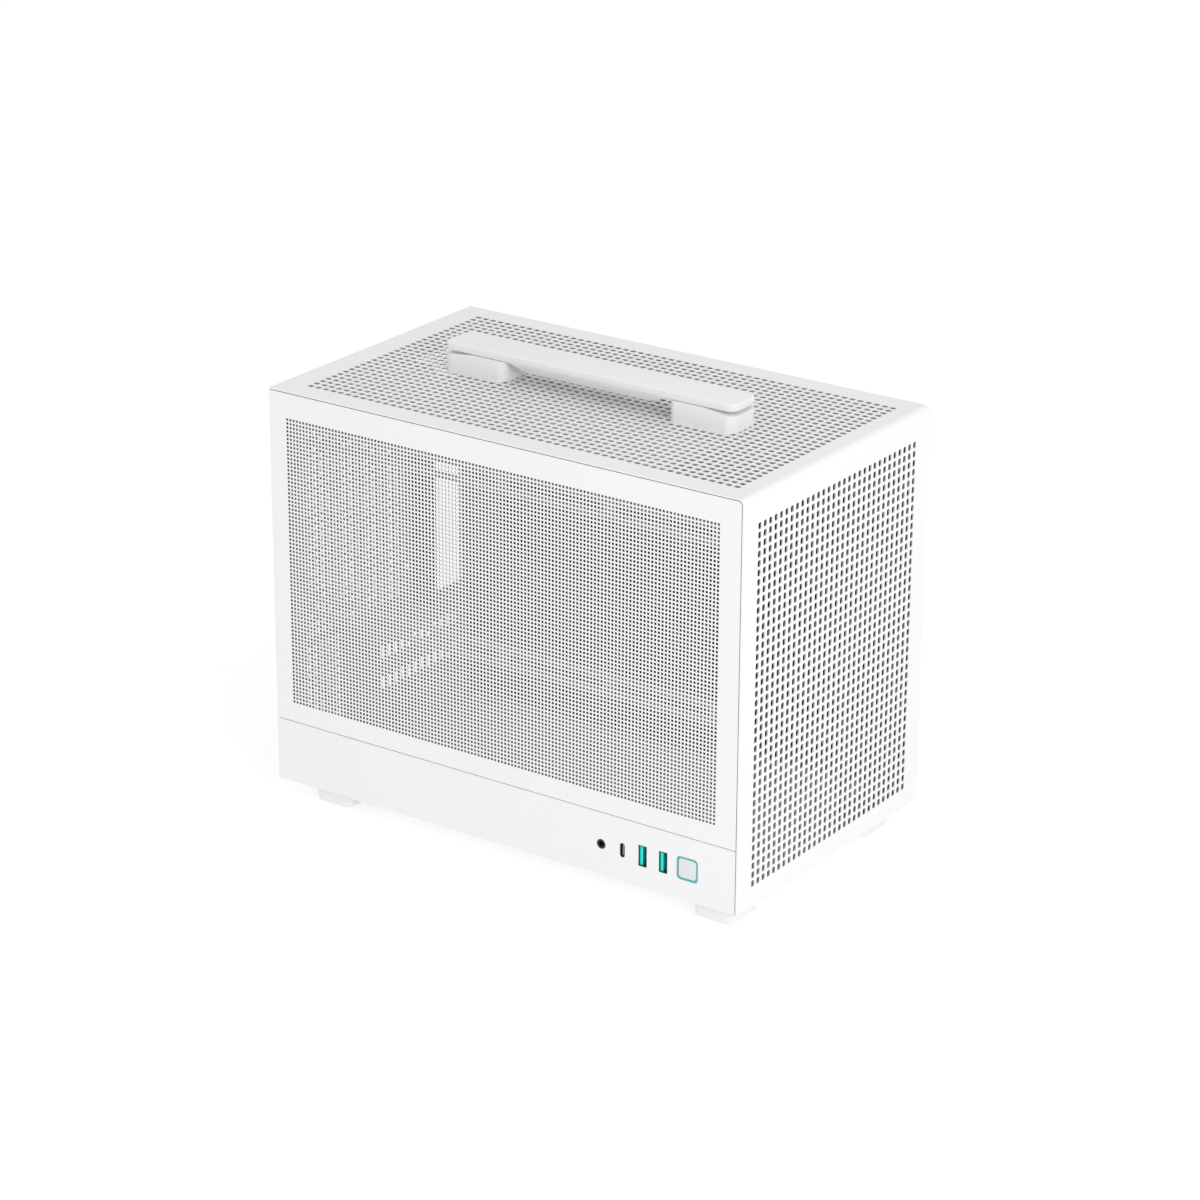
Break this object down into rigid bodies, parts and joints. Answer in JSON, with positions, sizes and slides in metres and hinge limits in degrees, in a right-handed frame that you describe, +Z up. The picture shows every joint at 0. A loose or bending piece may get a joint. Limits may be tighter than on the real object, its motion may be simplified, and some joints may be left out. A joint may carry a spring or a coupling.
{
  "type": "computer case",
  "caption": "Empty white compact computer case with lift-off sides, one perforated, lower port strip, slotted front and top, square power button and lifting handle.",
  "frame": {"origin": "on the ground under the middle of the case", "axes": "+X along the case to its short slotted front, -Y out of the side with the ports, +Z up"},
  "size_m": [0.336, 0.2, 0.28],
  "materials": {
    "white_paint": "fine white powder coat",
    "inner_paint": "dark grey powder coat inside the case",
    "handle_paint": "fine white powder coat",
    "grip_plastic": "satin white",
    "white_plastic": "satin white",
    "button_plastic": "satin light grey",
    "teal_light": "translucent light ring",
    "teal_plastic": "smooth",
    "black_plastic": "smooth",
    "steel": "plated",
    "brass": "turned",
    "circuit_board": "solder mask",
    "rubber": "matte"
  },
  "bodies": {
    "chassis": {"wrap_cover": "white_paint", "base_plate": "white_paint", "rear_panel": "white_paint", "slot_cover_1": "white_paint", "slot_cover_2": "white_paint", "fan_rail_upper": "white_paint", "fan_rail_lower": "white_paint", "top_bracket": "white_paint", "port_strip": "white_paint", "motherboard_tray": "inner_paint", "front_pillar_near": "inner_paint", "front_pillar_far": "inner_paint", "io_angle": "inner_paint", "psu_bracket": "inner_paint", "port_bracket": "inner_paint", "handle_block_rear": "handle_paint", "handle_block_front": "handle_paint", "foot_rear_near": "white_plastic", "foot_rear_far": "white_plastic", "foot_front_near": "white_plastic", "foot_front_far": "white_plastic", "panel_sockets_near": "white_plastic", "panel_sockets_far": "white_plastic", "button_housing": "white_plastic", "button_light_ring": "teal_light", "usb_a_tongue_1": "teal_plastic", "usb_a_tongue_2": "teal_plastic", "audio_jack": "black_plastic", "usb_c_tongue": "black_plastic", "tactile_switch": "black_plastic", "usb_a_shell_1": "steel", "usb_a_shell_2": "steel", "usb_c_shell": "steel", "slot_thumb_screws": "steel", "handle_screws": "steel", "foot_screws": "steel", "port_board_screws": "steel", "motherboard_standoffs": "brass", "port_board": "circuit_board", "foot_pads": "rubber"},
    "near_panel": {"side_panel_near": "white_paint", "panel_lips_near": "white_paint", "panel_studs_near": "steel"},
    "far_panel": {"side_panel_far": "white_paint", "panel_lips_far": "white_paint", "panel_studs_far": "steel"},
    "button": {"power_button": "button_plastic", "switch_plunger": "black_plastic"},
    "handle": {"handle_bar": "handle_paint", "handle_grip": "grip_plastic", "handle_posts": "steel"}
  },
  "joints": [
    {"name": "button_press", "type": "slide", "parent": "chassis", "child": "button", "axis": [0, 1, 0], "range_m": [0, 0.0012], "stiffness_N_per_m": 500, "springref_m": -0.0005},
    {"name": "handle_lift", "type": "slide", "parent": "chassis", "child": "handle", "axis": [0, 0, 1], "range_m": [0, 0.012]},
    {"name": "near_panel_pull", "type": "slide", "parent": "chassis", "child": "near_panel", "axis": [0, -1, 0], "range_m": [0, 0.04]},
    {"name": "far_panel_pull", "type": "slide", "parent": "chassis", "child": "far_panel", "axis": [0, 1, 0], "range_m": [0, 0.04]}
  ]
}
